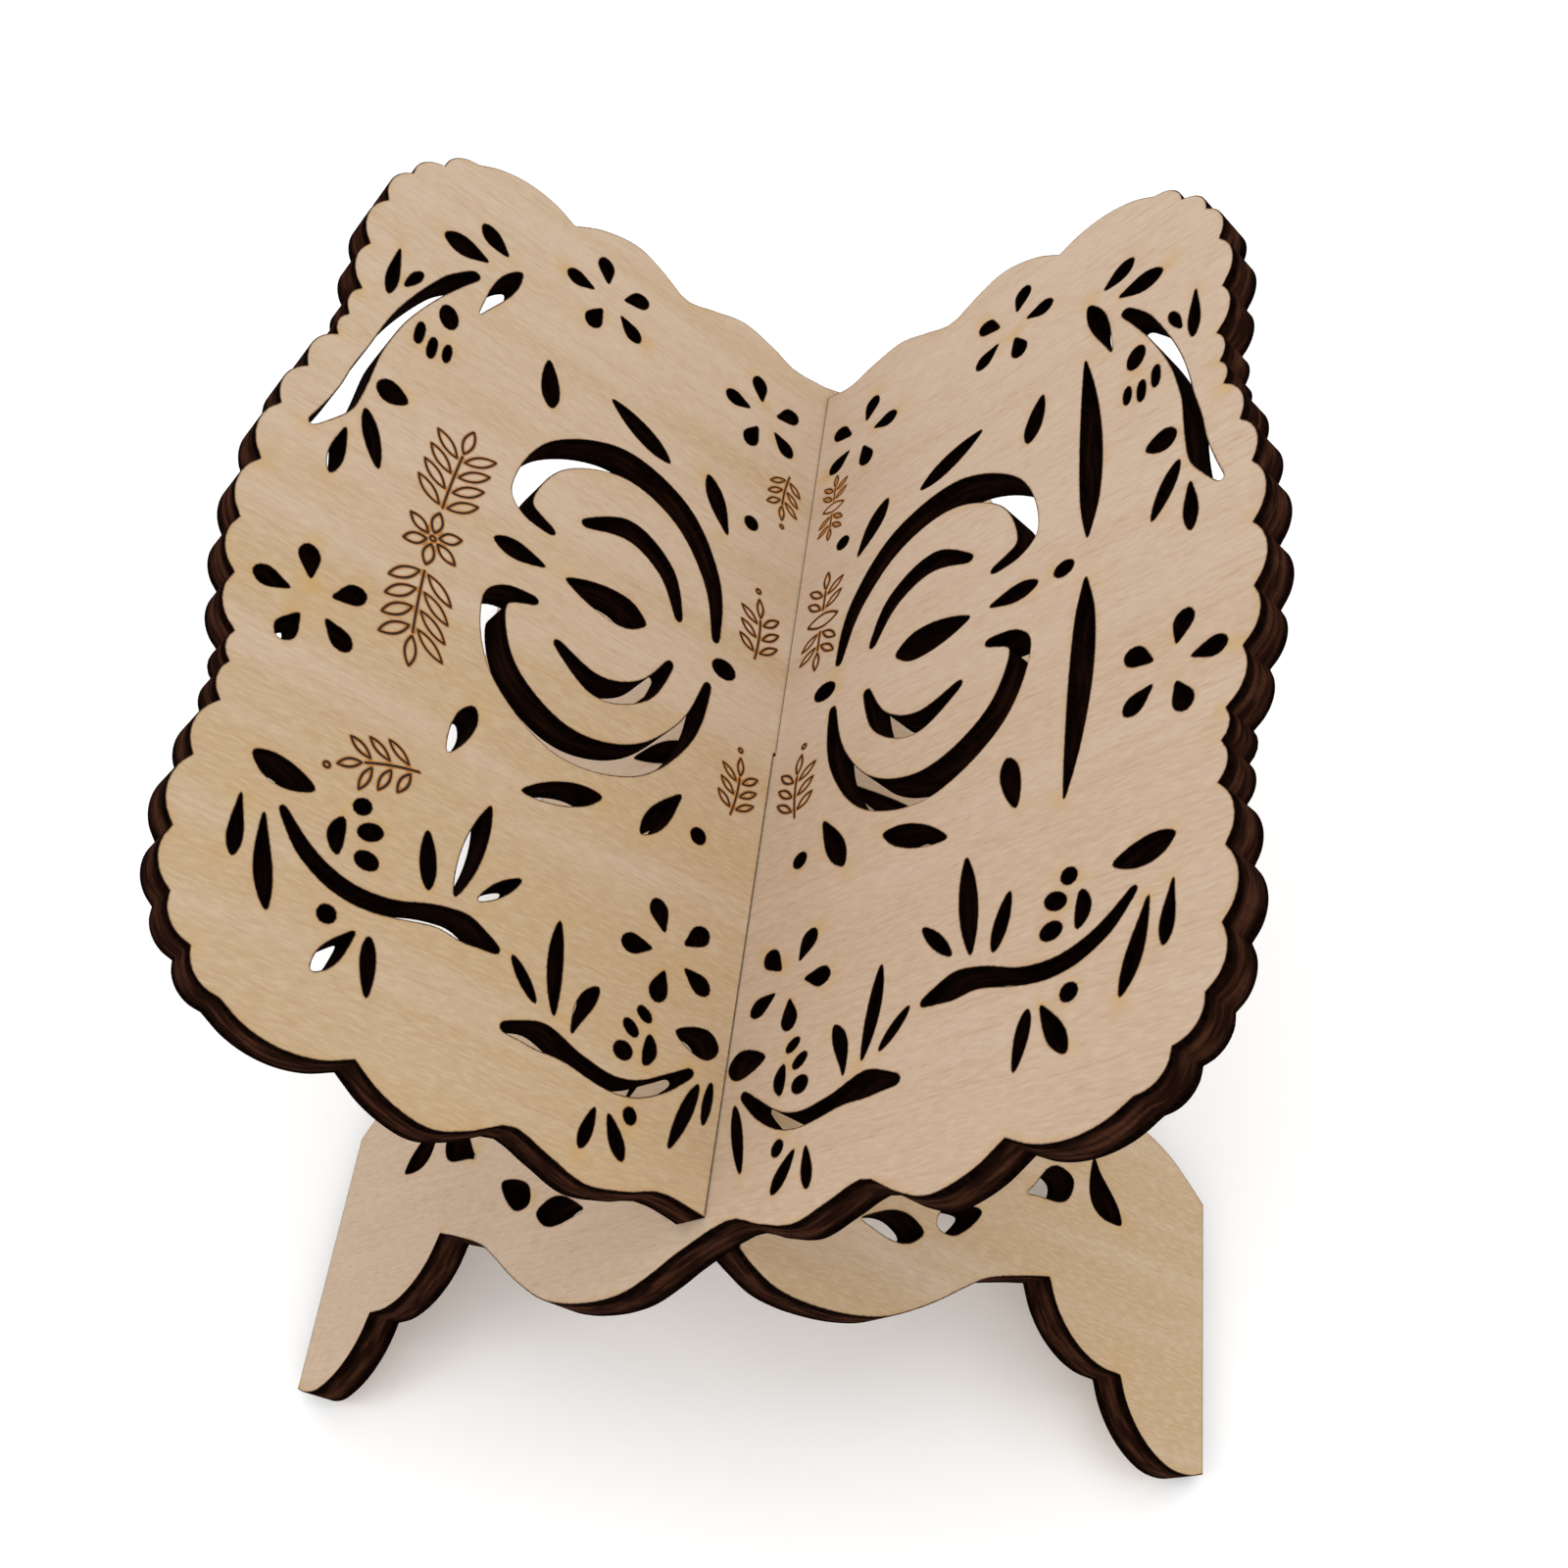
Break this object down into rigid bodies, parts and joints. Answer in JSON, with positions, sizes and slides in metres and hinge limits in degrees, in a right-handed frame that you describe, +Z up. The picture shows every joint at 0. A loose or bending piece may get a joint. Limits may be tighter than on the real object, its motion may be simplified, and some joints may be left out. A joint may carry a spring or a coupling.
{
  "type": "quran stand",
  "caption": "Small take-apart book rest: scallop-edged pierced plywood boards slotted crosswise into an X, with a V-shaped cradle above and arched feet below.",
  "frame": {"origin": "centre of the bounding box's bottom face, on the ground under the crossing of the boards", "axes": "+Z up, +Y along the crossing line from the edge nearer the reader to the far edge, +X to the right; the wings rise to the left and right"},
  "size_m": [0.1284, 0.1547, 0.1117],
  "materials": {
    "plywood": "raw sanded light veneer with laser-burnt dark brown edges"
  },
  "bodies": {
    "right_board": {"right_board": "plywood"},
    "left_board": {"left_board": "plywood"}
  },
  "joints": [
    {"name": "slot_slide", "type": "slide", "parent": "right_board", "child": "left_board", "axis": [0, 1, 0], "range_m": [0, 0.065]}
  ]
}
